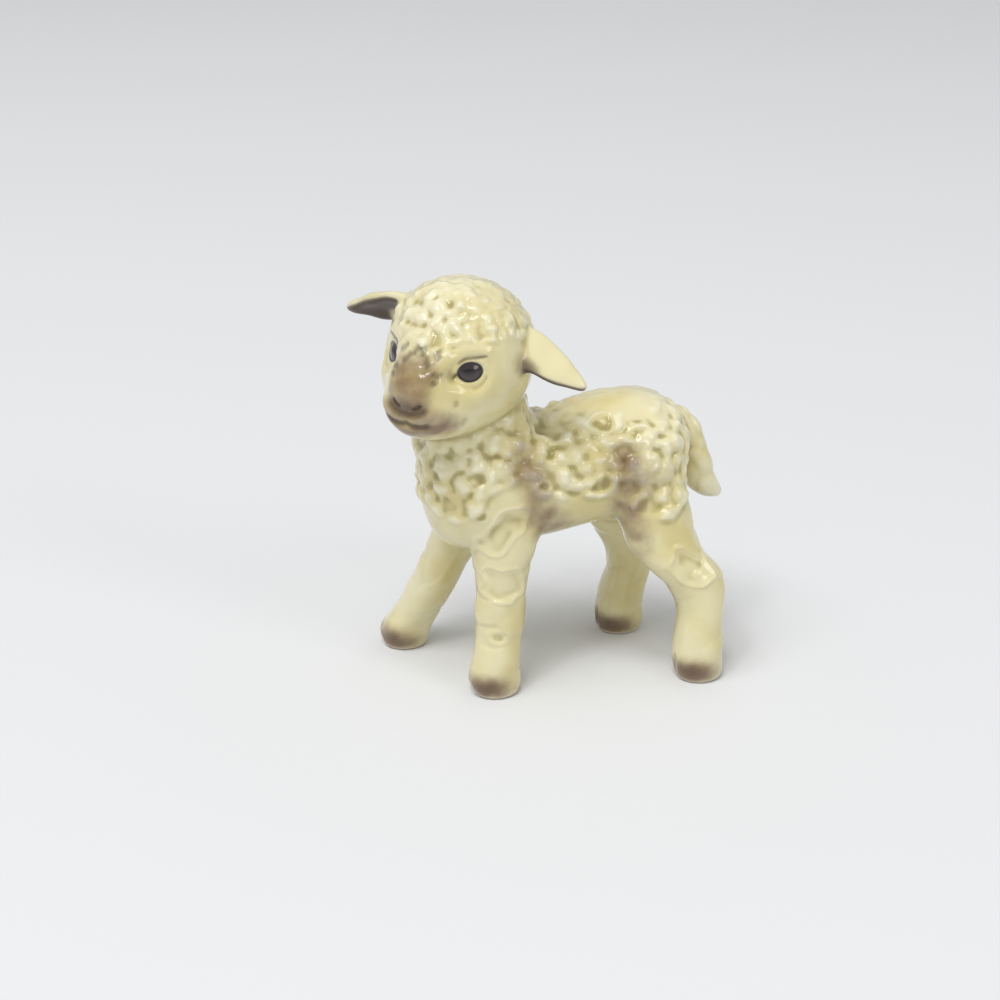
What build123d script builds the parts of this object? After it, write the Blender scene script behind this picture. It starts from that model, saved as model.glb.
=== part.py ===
from build123d import *
import math
import os

# A glazed earthenware lamb, 82 mm tall, on four splayed legs with its head turned to its left.
# Such an animal is cast in separate moulds: a hollow trunk with the neck, a hollow head, two ears,
# a tail and four solid legs, stuck together with slip before the firing. Each casting is one solid.
# +X is the way the trunk faces, +Y is the lamb's left, +Z is up, and the soles stand on Z = 0.

# The trunk casting: the barrel from the rump to the chest, and the neck on top of it.
TRUNK_LENGTH = 52.0
TRUNK_WIDTH = 26.0
TRUNK_DEPTH = 25.0
TRUNK_HEIGHT = 43.0
NECK_RISE = 18.5
NECK_WIDTH = 22.0
NECK_THICKNESS = 21.0
TRUNK_WALL = 2.6

# The head casting, with its centre set from the middle of the neck's top.
HEAD_AHEAD = 1.3
HEAD_ASIDE = 1.4
HEAD_RISE = 5.5
HEAD_TURN = 43.0
HEAD_LEAN = -4.0
SKULL_LENGTH = 32.4
SKULL_WIDTH = 27.2
SKULL_HEIGHT = 28.6
HEAD_WALL = 2.4

# The face: eyes on shallow mounds in their sockets, nostrils and a mouth.
EYE_LENGTH = 5.0
EYE_HEIGHT = 3.8
EYE_BULGE = 0.9
SOCKET_RIM = 1.1
SOCKET_DEPTH = 0.7
NOSTRIL_LENGTH = 1.8
NOSTRIL_WIDTH = 0.8
MOUTH_GROOVE = 1.3
MOUTH_SPREAD = 18.4
MOUTH_SWEEP = 112.0

# The ears, pointed leaves with a hollow underside, each with its own set.
EAR_LENGTH = 15.2
EAR_WIDTH = 8.4
EAR_THICKNESS = 3.2
EAR_HOLLOW_DEPTH = 1.1
EAR_RIM = 1.0
LEFT_EAR_DROOP = 27.0
LEFT_EAR_SWEEP = 12.0
LEFT_EAR_TWIST = -42.0
RIGHT_EAR_DROOP = 16.0
RIGHT_EAR_SWEEP = 9.0
RIGHT_EAR_TWIST = 50.0

# The tail, which hangs over the rump and kicks out at its tip.
TAIL_LENGTH = 21.0
TAIL_WIDTH = 7.8
TAIL_THICKNESS = 6.0

# The legs, and where each foot stands, ahead of the trunk's middle and to its left.
LEG_THICKNESS = 10.0
THIGH_THICKNESS = 15.6
HOOF_LENGTH = 10.1
HOOF_WIDTH = 9.6
FRONT_LEFT_AHEAD = 15.4
FRONT_LEFT_ASIDE = 9.9
FRONT_RIGHT_AHEAD = 27.0
FRONT_RIGHT_ASIDE = -15.7
REAR_LEFT_AHEAD = -25.1
REAR_LEFT_ASIDE = 15.3
REAR_RIGHT_AHEAD = -17.3
REAR_RIGHT_ASIDE = -9.4
CLEFT_WIDTH = 1.3
CLEFT_DEPTH = 1.6
CLEFT_HEIGHT = 5.6

# Air holes, without which a hollow casting bursts in the kiln: one between the trunk and the head,
# and one under the belly.
PASSAGE_RADIUS = 1.7
AIR_HOLE_RADIUS = 1.0

OVERRUN = 1.0


# How far the handles of a half round's curve reach, in radii.
HALF_ROUND_HANDLE_SHARE = 4 / 3


def unit_oval():
    """A round face of unit radius in two mirrored halves, which the sections are scaled from."""
    reach = HALF_ROUND_HANDLE_SHARE
    there = Bezier((1, 0), (1, reach), (-1, reach), (-1, 0))
    back = Bezier((-1, 0), (-1, -reach), (1, -reach), (1, 0))
    return make_face([there, back])


UNIT_OVAL = unit_oval()


def oval(centre, tangent, half_across, half_up):
    """An oval section square to the tangent, by its two half sizes."""
    return centre, tangent, half_across, half_up


def skin(sections, across=(0, 1, 0)):
    """The smooth solid through a list of oval sections, with a small flat at each end."""
    faces = []
    for centre, tangent, half_across, half_up in sections:
        plane = Plane(origin=centre, x_dir=across, z_dir=tangent)
        faces.append((plane * scale(UNIT_OVAL, (half_across, half_up, 1))).face())
    return loft(faces)


def hollow(sections, wall):
    """The sections of the space inside a skin, with the wall measured square to the skin."""
    inner = []
    for before, here, after in zip(sections, sections[1:], sections[2:]):
        run = math.dist(before[0], after[0])
        across_slope = (after[2] - before[2]) / run
        up_slope = (after[3] - before[3]) / run
        half_across = here[2] - wall * math.hypot(1, across_slope)
        half_up = here[3] - wall * math.hypot(1, up_slope)
        if min(half_across, half_up) > wall:
            inner.append((here[0], here[1], half_across, half_up))
    return inner


# Barrel shares, from the rump to the chest: place ahead in trunk lengths, rise in trunk depths, lean of
# the section in degrees, half width in trunk widths, half depth in trunk depths. A loft keeps its
# sections the right way round while they lean less than half a right angle from the first one.
barrel_shares = [
    (-0.467, -0.196, 22, 0.100, 0.088),
    (-0.455, -0.184, 22, 0.224, 0.187),
    (-0.440, -0.153, 22, 0.305, 0.271),
    (-0.410, -0.085, 21, 0.401, 0.391),
    (-0.351, -0.023, 17, 0.475, 0.470),
    (-0.250, 0.008, 10, 0.495, 0.500),
    (-0.115, -0.019, 6, 0.478, 0.498),
    (0.019, -0.072, 12, 0.478, 0.504),
    (0.137, -0.096, 25, 0.490, 0.550),
    (0.256, -0.076, 40, 0.490, 0.620),
]
# Neck shares, up from the chest: place ahead in trunk lengths, rise in neck rises, lean, half width in
# neck widths, half thickness in neck thicknesses.
neck_shares = [
    (0.311, 0.126, 52, 0.552, 0.640),
    (0.330, 0.399, 58, 0.518, 0.580),
    (0.345, 0.702, 61, 0.484, 0.532),
    (0.352, 1.000, 62, 0.462, 0.512),
]
# The neck narrows to its end well inside the head, where the head's skin cuts it off.
neck_end_shares = [
    (0.362, 1.150, 62, 0.400, 0.450),
    (0.368, 1.260, 62, 0.240, 0.270),
]


def leaning_sections(shares, rise, width, depth):
    """Sections along the trunk or the neck, whose rises, widths and depths are in the sizes given."""
    sections = []
    for ahead, up, lean, wide, deep in shares:
        centre = (ahead * TRUNK_LENGTH, 0, TRUNK_HEIGHT + up * rise)
        angle = math.radians(lean)
        tangent = (math.cos(angle), 0, math.sin(angle))
        sections.append(oval(centre, tangent, wide * width, deep * depth))
    return sections


trunk_sections = leaning_sections(barrel_shares, TRUNK_DEPTH, TRUNK_WIDTH, TRUNK_DEPTH)
trunk_sections += leaning_sections(neck_shares + neck_end_shares, NECK_RISE, NECK_WIDTH, NECK_THICKNESS)


# The head's own frame has +X along the muzzle, +Y to the lamb's left and +Z up.
head_centre = (
    neck_shares[-1][0] * TRUNK_LENGTH + HEAD_AHEAD,
    HEAD_ASIDE,
    TRUNK_HEIGHT + NECK_RISE + HEAD_RISE,
)
head_place = Location(head_centre) * Rotation(0, 0, HEAD_TURN) * Rotation(HEAD_LEAN, 0, 0)

# Head shares, from the back of the skull to the tip of the nose: place ahead in skull lengths, rise in
# skull heights, half width in skull widths, half height in skull heights.
head_shares = [
    (-0.429, 0.007, 0.055, 0.052),
    (-0.414, 0.000, 0.165, 0.157),
    (-0.352, -0.007, 0.309, 0.315),
    (-0.228, -0.010, 0.434, 0.448),
    (-0.046, -0.003, 0.500, 0.504),
    (0.139, -0.010, 0.485, 0.486),
    (0.253, -0.049, 0.430, 0.427),
    (0.346, -0.108, 0.358, 0.353),
    (0.423, -0.168, 0.286, 0.268),
    (0.494, -0.196, 0.236, 0.200),
    (0.545, -0.205, 0.172, 0.138),
    (0.563, -0.205, 0.106, 0.086),
    (0.571, -0.205, 0.038, 0.031),
]


def head_sections(grown=0.0):
    sections = []
    for ahead, rise, wide, high in head_shares:
        centre = (ahead * SKULL_LENGTH, 0, rise * SKULL_HEIGHT)
        half_width = wide * SKULL_WIDTH + grown
        sections.append(oval(centre, (1, 0, 0), half_width, high * SKULL_HEIGHT + grown))
    return sections


def ball(length, width, height):
    """An egg shape about the origin with the given full sizes."""
    return scale(Sphere(1), (length / 2, width / 2, height / 2))


# Where the face's features sit, in shares of the skull's length, width and height.
eye_place_shares = (0.327, 0.333, 0.028)
nostril_place_shares = (0.552, 0.075, -0.165)
mouth_place_shares = (0.290, 0.0, -0.290)
EYE_TURN = 47.0


def face_place(shares, side):
    """The location of a feature of the face, on the lamb's left where side is 1 and right where -1."""
    ahead, aside, rise = shares
    return Location((ahead * SKULL_LENGTH, side * aside * SKULL_WIDTH, rise * SKULL_HEIGHT))


def face(head):
    """The head with its eye sockets and eyes, its nostrils and its mouth."""
    for side in (1, -1):
        eye = face_place(eye_place_shares, side) * Rotation(0, 0, side * EYE_TURN)
        socket = ball(2 * SOCKET_DEPTH, EYE_LENGTH + 2 * SOCKET_RIM, EYE_HEIGHT + 2 * SOCKET_RIM)
        head -= eye * socket
        mound = ball(2 * (SOCKET_DEPTH + EYE_BULGE), EYE_LENGTH, EYE_HEIGHT)
        head += eye * Location((-SOCKET_DEPTH, 0, 0)) * mound
        nostril = ball(NOSTRIL_LENGTH, NOSTRIL_WIDTH, NOSTRIL_WIDTH)
        head -= face_place(nostril_place_shares, side) * Rotation(0, 0, side * EYE_TURN) * nostril
    mouth = Rotation(0, 0, -MOUTH_SWEEP / 2) * Torus(
        MOUTH_SPREAD / 2, MOUTH_GROOVE / 2, major_angle=MOUTH_SWEEP
    )
    return head - face_place(mouth_place_shares, 1) * mouth


# Ear shares, from inside the skull to the tip: place along the ear, half width, half thickness.
ear_shares = [
    (-0.15, 0.40, 0.42),
    (0.08, 0.50, 0.50),
    (0.30, 0.48, 0.48),
    (0.55, 0.38, 0.42),
    (0.80, 0.24, 0.34),
    (0.94, 0.13, 0.24),
    (1.00, 0.05, 0.10),
]
left_ear_root_shares = (-0.050, 0.415, 0.161)
right_ear_root_shares = (0.056, 0.415, 0.258)


def leaf(side, narrower=0.0):
    """An ear along +Y or -Y with its underside down, or with a rim the tool that hollows it."""
    sections = []
    for along, wide, thick in ear_shares:
        centre = (0, side * along * EAR_LENGTH, 0)
        half_width = wide * EAR_WIDTH - narrower
        if half_width > 0:
            sections.append(oval(centre, (0, side, 0), half_width, thick * EAR_THICKNESS))
    return skin(sections, across=(1, 0, 0))


def ear_form(side, root_shares, droop, sweep, twist):
    ear = leaf(side) - Location((0, 0, -EAR_THICKNESS + EAR_HOLLOW_DEPTH)) * leaf(side, EAR_RIM)
    turned = Rotation(0, 0, side * sweep) * Rotation(-side * droop, 0, 0) * Rotation(0, -twist, 0)
    return head_place * face_place(root_shares, side) * turned * ear


# Tail shares, from the root to the tip: place behind the rump and fall in tail lengths, tilt in
# degrees, half width, half thickness.
tail_shares = [
    (-0.090, 0.000, 40, 0.256, 0.267),
    (0.010, 0.090, 50, 0.410, 0.400),
    (0.105, 0.252, 68, 0.474, 0.467),
    (0.167, 0.452, 76, 0.500, 0.500),
    (0.200, 0.614, 70, 0.500, 0.517),
    (0.257, 0.738, 52, 0.449, 0.483),
    (0.352, 0.824, 38, 0.346, 0.367),
    (0.429, 0.871, 32, 0.192, 0.217),
    (0.457, 0.890, 32, 0.064, 0.083),
]
# The tail's root, ahead in trunk lengths and up in trunk depths.
tail_root_shares = (-0.488, 0.300)


def tail_form():
    sections = []
    root_x = tail_root_shares[0] * TRUNK_LENGTH
    root_z = TRUNK_HEIGHT + tail_root_shares[1] * TRUNK_DEPTH
    for behind, fall, tilt, wide, thick in tail_shares:
        angle = math.radians(tilt)
        centre = (root_x - behind * TAIL_LENGTH, 0, root_z - fall * TAIL_LENGTH)
        tangent = (-math.cos(angle), 0, -math.sin(angle))
        sections.append(oval(centre, tangent, wide * TAIL_WIDTH, thick * TAIL_THICKNESS))
    return skin(sections)


# Leg shares, from the sole up: height in trunk heights, way from the foot to the leg's top inside the
# trunk, set ahead in leg thicknesses, half length, half width. A hoof's sizes count up to the fetlock.
hoof_shares = [
    (0.000, 0.00, 0.00, 0.400, 0.400),
    (0.021, 0.00, 0.00, 0.460, 0.465),
    (0.093, 0.03, 0.02, 0.500, 0.500),
]
front_leg_shares = [
    (0.195, 0.18, 0.00, 0.480, 0.470),
    (0.337, 0.37, 0.00, 0.480, 0.470),
    (0.488, 0.56, 0.00, 0.510, 0.480),
    (0.635, 0.74, 0.00, 0.590, 0.500),
    (0.760, 0.87, -0.02, 0.680, 0.520),
    (0.860, 0.95, -0.01, 0.730, 0.510),
    (0.930, 1.00, 0.00, 0.740, 0.480),
]
rear_leg_shares = [
    (0.195, 0.08, -0.05, 0.500, 0.470),
    (0.326, 0.20, -0.22, 0.490, 0.460),
    (0.442, 0.33, -0.28, 0.590, 0.480),
    (0.523, 0.46, -0.16, 0.660, 0.510),
]
# The thigh's half length is in thigh thicknesses.
thigh_shares = [
    (0.610, 0.63, 0.01, 0.450, 0.530),
    (0.700, 0.78, 0.03, 0.475, 0.535),
    (0.790, 0.90, 0.04, 0.490, 0.530),
    (0.870, 0.97, 0.04, 0.500, 0.510),
    (0.930, 1.00, 0.03, 0.500, 0.480),
]
# Tops of the legs, ahead in trunk lengths and aside in trunk widths.
front_top_shares = (0.240, 0.280)
rear_top_shares = (-0.310, 0.315)


def leg_form(foot, top_shares, side, tables):
    """A leg from its foot to its top; each table has its own thickness for half lengths."""
    top_x = top_shares[0] * TRUNK_LENGTH
    top_y = side * top_shares[1] * TRUNK_WIDTH
    sections = []
    for shares, length, width in tables:
        for up, way, ahead, long, wide in shares:
            x = foot[0] + way * (top_x - foot[0]) + ahead * LEG_THICKNESS
            y = foot[1] + way * (top_y - foot[1])
            sections.append(oval((x, y, up * TRUNK_HEIGHT), (0, 0, 1), long * length, wide * width))
    return skin(sections, across=(1, 0, 0))


def cleft_form(foot):
    """The wedge that parts the front of a hoof into its two toes."""
    front = HOOF_LENGTH / 2 + OVERRUN
    apex = HOOF_LENGTH / 2 - CLEFT_DEPTH
    half = CLEFT_WIDTH / 2
    outline = make_face(Polyline((front, -half), (apex, 0), (front, half), close=True))
    wedge = extrude(outline, CLEFT_HEIGHT)
    return Location((foot[0], foot[1], 0)) * wedge


def leg(foot, top_shares, side, tables):
    return leg_form(foot, top_shares, side, tables) - cleft_form(foot)


hoof_table = (hoof_shares, HOOF_LENGTH, HOOF_WIDTH)
front_tables = [hoof_table, (front_leg_shares, LEG_THICKNESS, LEG_THICKNESS)]
rear_tables = [
    hoof_table,
    (rear_leg_shares, LEG_THICKNESS, LEG_THICKNESS),
    (thigh_shares, THIGH_THICKNESS, LEG_THICKNESS),
]


def build():
    """Every casting, as cut where it is stuck on to its neighbour."""
    trunk_skin = skin(trunk_sections)
    head_skin = head_place * skin(head_sections())
    head_with_wall = head_place * skin(head_sections(TRUNK_WALL))
    trunk_space = skin(hollow(trunk_sections, TRUNK_WALL)) - head_with_wall
    head_space = head_place * skin(hollow(head_sections(), HEAD_WALL))
    passage = Location((head_centre[0], 0, TRUNK_HEIGHT)) * Cylinder(
        PASSAGE_RADIUS, head_centre[2] - TRUNK_HEIGHT, align=(Align.CENTER, Align.CENTER, Align.MIN)
    )
    air_hole = Cylinder(AIR_HOLE_RADIUS, TRUNK_HEIGHT, align=(Align.CENTER, Align.CENTER, Align.MIN))

    head = head_place * face(skin(head_sections()))
    left_ear = ear_form(1, left_ear_root_shares, LEFT_EAR_DROOP, LEFT_EAR_SWEEP, LEFT_EAR_TWIST)
    right_ear = ear_form(-1, right_ear_root_shares, RIGHT_EAR_DROOP, RIGHT_EAR_SWEEP, RIGHT_EAR_TWIST)
    front_left_foot = (FRONT_LEFT_AHEAD, FRONT_LEFT_ASIDE)
    front_right_foot = (FRONT_RIGHT_AHEAD, FRONT_RIGHT_ASIDE)
    rear_left_foot = (REAR_LEFT_AHEAD, REAR_LEFT_ASIDE)
    rear_right_foot = (REAR_RIGHT_AHEAD, REAR_RIGHT_ASIDE)
    return {
        "trunk": trunk_skin - trunk_space - head_skin - passage - air_hole,
        "head": head - head_space - passage,
        "left_ear": left_ear - head_skin,
        "right_ear": right_ear - head_skin,
        "tail": tail_form() - trunk_skin,
        "front_left_leg": leg(front_left_foot, front_top_shares, 1, front_tables) - trunk_skin,
        "front_right_leg": leg(front_right_foot, front_top_shares, -1, front_tables) - trunk_skin,
        "rear_left_leg": leg(rear_left_foot, rear_top_shares, 1, rear_tables) - trunk_skin,
        "rear_right_leg": leg(rear_right_foot, rear_top_shares, -1, rear_tables) - trunk_skin,
    }


def centred(parts):
    """The same castings with the origin under the middle of the lamb's outline seen from above."""
    boxes = [part.bounding_box() for part in parts.values()]
    middle_x = (min(box.min.X for box in boxes) + max(box.max.X for box in boxes)) / 2
    middle_y = (min(box.min.Y for box in boxes) + max(box.max.Y for box in boxes)) / 2
    move = Location((-middle_x, -middle_y, 0))
    print("moved to the origin by", move.position)
    return {name: move * part for name, part in parts.items()}


os.makedirs("parts", exist_ok=True)
for name, part in centred(build()).items():
    print(name, len(part.solids()), round(part.volume, 1))
    export_step(part, f"parts/{name}.step")
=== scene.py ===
import math

import bpy
import numpy as np
from mathutils import Euler, Matrix, Vector
from mathutils.bvhtree import BVHTree


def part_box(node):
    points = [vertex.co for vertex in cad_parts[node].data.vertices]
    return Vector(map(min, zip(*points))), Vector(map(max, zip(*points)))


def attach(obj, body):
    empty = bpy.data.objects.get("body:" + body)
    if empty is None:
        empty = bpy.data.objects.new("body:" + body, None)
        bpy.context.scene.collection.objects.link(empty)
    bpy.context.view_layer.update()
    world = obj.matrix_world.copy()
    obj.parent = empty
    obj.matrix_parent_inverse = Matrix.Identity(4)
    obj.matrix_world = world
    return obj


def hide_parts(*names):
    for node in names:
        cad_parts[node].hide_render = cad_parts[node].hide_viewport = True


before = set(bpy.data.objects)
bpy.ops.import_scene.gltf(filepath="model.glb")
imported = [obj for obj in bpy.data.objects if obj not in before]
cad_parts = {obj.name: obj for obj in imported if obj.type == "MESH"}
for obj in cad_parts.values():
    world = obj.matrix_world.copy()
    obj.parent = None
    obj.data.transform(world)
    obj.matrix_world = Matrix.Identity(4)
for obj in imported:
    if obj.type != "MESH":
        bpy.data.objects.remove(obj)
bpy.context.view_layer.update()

# The lamb is sculpted in millimetres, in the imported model's frame, and made small again at the end.
MM = 0.001
# Where the middle of the trunk's castings stands in that frame, seen from above.
TRUNK_MIDDLE = np.array([-0.8589, 0.2118, 0.0])
# The head's own frame: x along the muzzle, y to the lamb's left, z to the crown.
HEAD_CENTRE = np.array([19.604, 1.4, 67.0]) + TRUNK_MIDDLE
HEAD_TURN = math.radians(43.0)
HEAD_LEAN = math.radians(-4.0)
HEAD_AXES = np.array(Matrix.Rotation(HEAD_TURN, 3, "Z") @ Matrix.Rotation(HEAD_LEAN, 3, "X")).T
# The middles of the soles, from the trunk's middle.
FEET = {
    "front_left_leg": (15.4, 9.9),
    "front_right_leg": (27.0, -15.7),
    "rear_left_leg": (-25.1, 15.3),
    "rear_right_leg": (-17.3, -9.4),
}
NODES = ["trunk", "head", "left_ear", "right_ear", "tail"] + list(FEET)
TRUNK = NODES.index("trunk")
HEAD = NODES.index("head")
TAIL = NODES.index("tail")
EARS = [NODES.index("left_ear"), NODES.index("right_ear")]
LEGS = [NODES.index(node) for node in FEET]
# The lamb's left and its right, by the sign of y.
SIDES = (1, -1)
CLAY_GRAIN = 0.25
# A first, coarse fusing closes the castings' narrow slits.
SLIT_GRAIN = 0.4
# Farther than anything is from anything else.
FAR = 1e3


# Small tools for arrays of points.


def smoothstep(low, high, values):
    """0 at low, 1 at high, and a soft rise between them; low may be the larger of the two."""
    share = np.clip((values - low) / (high - low), 0.0, 1.0)
    return share * share * (3 - 2 * share)


def bell(distance, radius):
    """1 at no distance, falling softly to 0 at the radius."""
    share = np.clip(distance / radius, 0.0, 1.0)
    return (1 - share * share) ** 2


def mound(places, middle, half_sizes, reach=1.0):
    """1 in the middle of an oval, falling softly to 0 at reach times its half sizes."""
    return bell(np.linalg.norm((places - np.array(middle)) / half_sizes, axis=1), reach)


def to_head(points):
    return (points - HEAD_CENTRE) @ HEAD_AXES.T


def from_head(points):
    return np.asarray(points) @ HEAD_AXES + HEAD_CENTRE


def pick_only(*objects):
    """Selects these objects and nothing else, and makes the first one active."""
    bpy.ops.object.select_all(action="DESELECT")
    for each in objects:
        each.select_set(True)
    bpy.context.view_layer.objects.active = objects[0]


# The clay: every casting's skin fused into one, as the glaze covers them.

# Corners of a casting that are closer than this are one corner.
SAME_CORNER = 0.0005
# A plug in the air hole keeps the hollow apart from the outer skin.
PLUG_RADIUS = 1.6
PLUG_LENGTH = 3.0
PLUG_HEIGHT = 30.4


def casting(node):
    """A copy of a CAD node in millimetres, with its loose triangles merged."""
    copy = bpy.data.objects.new("casting_" + node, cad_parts[node].data.copy())
    bpy.context.collection.objects.link(copy)
    copy.data.transform(Matrix.Scale(1 / MM, 4))
    copy.data.materials.clear()
    pick_only(copy)
    bpy.ops.object.mode_set(mode="EDIT")
    bpy.ops.mesh.select_all(action="SELECT")
    bpy.ops.mesh.remove_doubles(threshold=SAME_CORNER)
    bpy.ops.object.mode_set(mode="OBJECT")
    return copy


def surface(obj):
    corners = [vertex.co for vertex in obj.data.vertices]
    return BVHTree.FromPolygons(corners, [polygon.vertices for polygon in obj.data.polygons])


def fused_clay(castings):
    """One closed skin over all castings, without their hollows."""
    pick_only(*castings)
    bpy.ops.object.join()
    clay = bpy.context.active_object
    clay.name = "clay"
    bpy.ops.mesh.primitive_cylinder_add(
        vertices=24, radius=PLUG_RADIUS, depth=PLUG_LENGTH,
        location=(TRUNK_MIDDLE[0], TRUNK_MIDDLE[1], PLUG_HEIGHT),
    )
    plug = bpy.context.active_object
    pick_only(clay, plug)
    bpy.ops.object.join()
    for grain in sorted({SLIT_GRAIN, CLAY_GRAIN}, reverse=True):
        remesh = clay.modifiers.new("grain", "REMESH")
        remesh.mode = "VOXEL"
        remesh.voxel_size = grain
        bpy.ops.object.modifier_apply(modifier=remesh.name)
    bpy.ops.object.mode_set(mode="EDIT")
    bpy.ops.mesh.select_all(action="SELECT")
    bpy.ops.mesh.separate(type="LOOSE")
    bpy.ops.object.mode_set(mode="OBJECT")
    islands = sorted(bpy.context.selected_objects, key=lambda each: -len(each.data.vertices))
    for each in islands[1:]:
        bpy.data.objects.remove(each)
    return islands[0]


def rounds_for(reach):
    """How many rounds of taking the neighbours' mean even the skin out over about the reach."""
    return max(1, round(4 * (reach / (2 * CLAY_GRAIN)) ** 2))


class Clay:
    """The fused skin as arrays, for moving its points by brushes."""

    def __init__(self, obj):
        self.obj = obj
        mesh = obj.data
        self.count = len(mesh.vertices)
        self.points = np.empty(self.count * 3)
        mesh.vertices.foreach_get("co", self.points)
        self.points = self.points.reshape(-1, 3)
        ends = np.empty(len(mesh.edges) * 2, dtype=np.int64)
        mesh.edges.foreach_get("vertices", ends)
        self.here, self.there = ends[0::2], ends[1::2]
        self.neighbours = np.bincount(ends, minlength=self.count).astype(float)

    def normals(self):
        """Each point's outward direction, after the mesh has been given the points."""
        mesh = self.obj.data
        mesh.vertices.foreach_set("co", self.points.ravel())
        mesh.update()
        out = np.empty(self.count * 3)
        mesh.vertex_normals.foreach_get("vector", out)
        return out.reshape(-1, 3)

    def around(self, values):
        """The mean of each point's neighbours."""
        if values.ndim == 1:
            total = np.bincount(self.here, values[self.there], self.count)
            total += np.bincount(self.there, values[self.here], self.count)
            return total / self.neighbours
        return np.stack([self.around(column) for column in values.T], axis=1)

    def relax(self, reach, weight=1.0):
        """Evens the skin out over about the reach in millimetres, more where the weight is larger."""
        share = 0.5 * np.asarray(weight)
        if share.ndim == 1:
            share = share[:, None]
        for _ in range(rounds_for(reach)):
            self.points += share * (self.around(self.points) - self.points)

    def soften(self, values, reach):
        """The points' values, evened out over about the reach in millimetres."""
        for _ in range(rounds_for(reach)):
            values = values + 0.5 * (self.around(values) - values)
        return values

    def push(self, height):
        """Moves the points out of the evened skin, or in where the height is negative."""
        outward = self.soften(self.normals(), 0.8)
        outward /= np.maximum(np.linalg.norm(outward, axis=1), 1e-6)[:, None]
        self.points += outward * height[:, None]


castings = [casting(node) for node in NODES]
skins = [surface(each) for each in castings]
clay = Clay(fused_clay(castings))


# Which casting each point of the clay belongs to, and the soft fillets where castings meet.

SEAM_REACH = 4.0


def frame_box(node):
    low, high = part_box(node)
    return np.array(low) / MM, np.array(high) / MM


def reach_of(skins, points, limit):
    """How far each point is from each casting, in rows of castings, up to the limit."""
    distances = np.full((len(skins), len(points)), limit)
    for row, skin in enumerate(skins):
        low, high = frame_box(NODES[row])
        near = np.all((points > low - limit) & (points < high + limit), axis=1)
        for index in np.nonzero(near)[0]:
            _, _, _, distance = skin.find_nearest(points[index], limit)
            if distance is not None:
                distances[row, index] = distance
    return distances


distances = reach_of(skins, clay.points, SEAM_REACH)
owner = np.argmin(distances, axis=0)
seam = np.sort(distances, axis=0)[1]
in_head = owner == HEAD
in_ears = np.isin(owner, EARS)
in_legs = np.isin(owner, LEGS)
on_body = (owner == TRUNK) | in_legs
clay.relax(0.5)
by_ear = smoothstep(SEAM_REACH, 2.0, np.min(distances[EARS], axis=0))
clay.relax(2.2, smoothstep(SEAM_REACH, 1.0, seam) * (1 - 0.5 * by_ear))


# Curls, dents and waves that are scattered over the skin.

WAVE_COUNT = 7
# What the sum of so many waves seldom passes.
WAVE_LEVEL = 3.2
# Of the points that have room for a curl, no more than this many are tried.
MOST_OFFERED = 9000
# A sunk curl's height, as a share of a usual one's.
SUNK = -0.35


def waves(points, size, seed):
    """A smooth wandering value between about -1 and 1, whose waves are about the size long."""
    chance = np.random.default_rng(seed)
    total = np.zeros(len(points))
    for _ in range(WAVE_COUNT):
        way = chance.normal(size=3)
        way *= 2 * math.pi / (size * chance.uniform(0.7, 1.5) * np.linalg.norm(way))
        total += np.sin(points @ way + chance.uniform(0, 2 * math.pi))
    return total / WAVE_LEVEL


def scatter(points, room, gap, seed):
    """Points picked by chance where there is room, with about the gap between them."""
    chance = np.random.default_rng(seed)
    offered = points[np.nonzero(room)[0]]
    offered = offered[chance.permutation(len(offered))[:MOST_OFFERED]]
    picked = np.empty((0, 3))
    for point in offered:
        own_gap = gap * (0.8 + 0.4 * chance.random())
        if not len(picked) or np.min(np.sum((picked - point) ** 2, axis=1)) > own_gap ** 2:
            picked = np.vstack([picked, point])
    return picked


def cells(points, seeds, gap):
    """Each point's distances to its three nearest seeds, and which seed is the nearest."""
    nearest = np.zeros(len(points), dtype=int)
    ranks = np.full((3, len(points)), FAR)
    for index, seed in enumerate(seeds):
        near = np.nonzero(np.all(np.abs(points - seed) < 2.5 * gap, axis=1))[0]
        distance = np.linalg.norm(points[near] - seed, axis=1)
        nearest[near[distance < ranks[0, near]]] = index
        ranks[:, near] = np.sort(np.vstack([ranks[:, near], distance]), axis=0)[:3]
    return ranks, nearest


def fleece(room, gap, lump, dimple, seed, sunk_share=0.15):
    """Heights of curls: cobbled lumps of uneven size with dimples where three of them meet."""
    wander = [waves(clay.points, 1.8 * gap, seed + step) for step in range(3)]
    bent = clay.points + 0.30 * gap * np.stack(wander, axis=1)
    seeds = scatter(bent, room > 0.3, gap, seed)
    ranks, nearest = cells(bent, seeds, gap)
    chance = np.random.default_rng(seed + 7)
    is_sunk = chance.random(len(seeds)) < sunk_share
    size = np.where(is_sunk, SUNK, chance.uniform(0.55, 1.15, len(seeds)))
    dome = 1 - np.clip(ranks[0] / (0.74 * gap), 0, 1) ** 2
    meeting = bell(ranks[2] - ranks[0], 0.85 * gap)
    uneven = np.clip(0.55 + 0.7 * waves(clay.points, 1.7 * gap, seed + 11), 0.0, 1.2)
    return (lump * (size[nearest] * dome - 0.35) - dimple * meeting * uneven) * room


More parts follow.
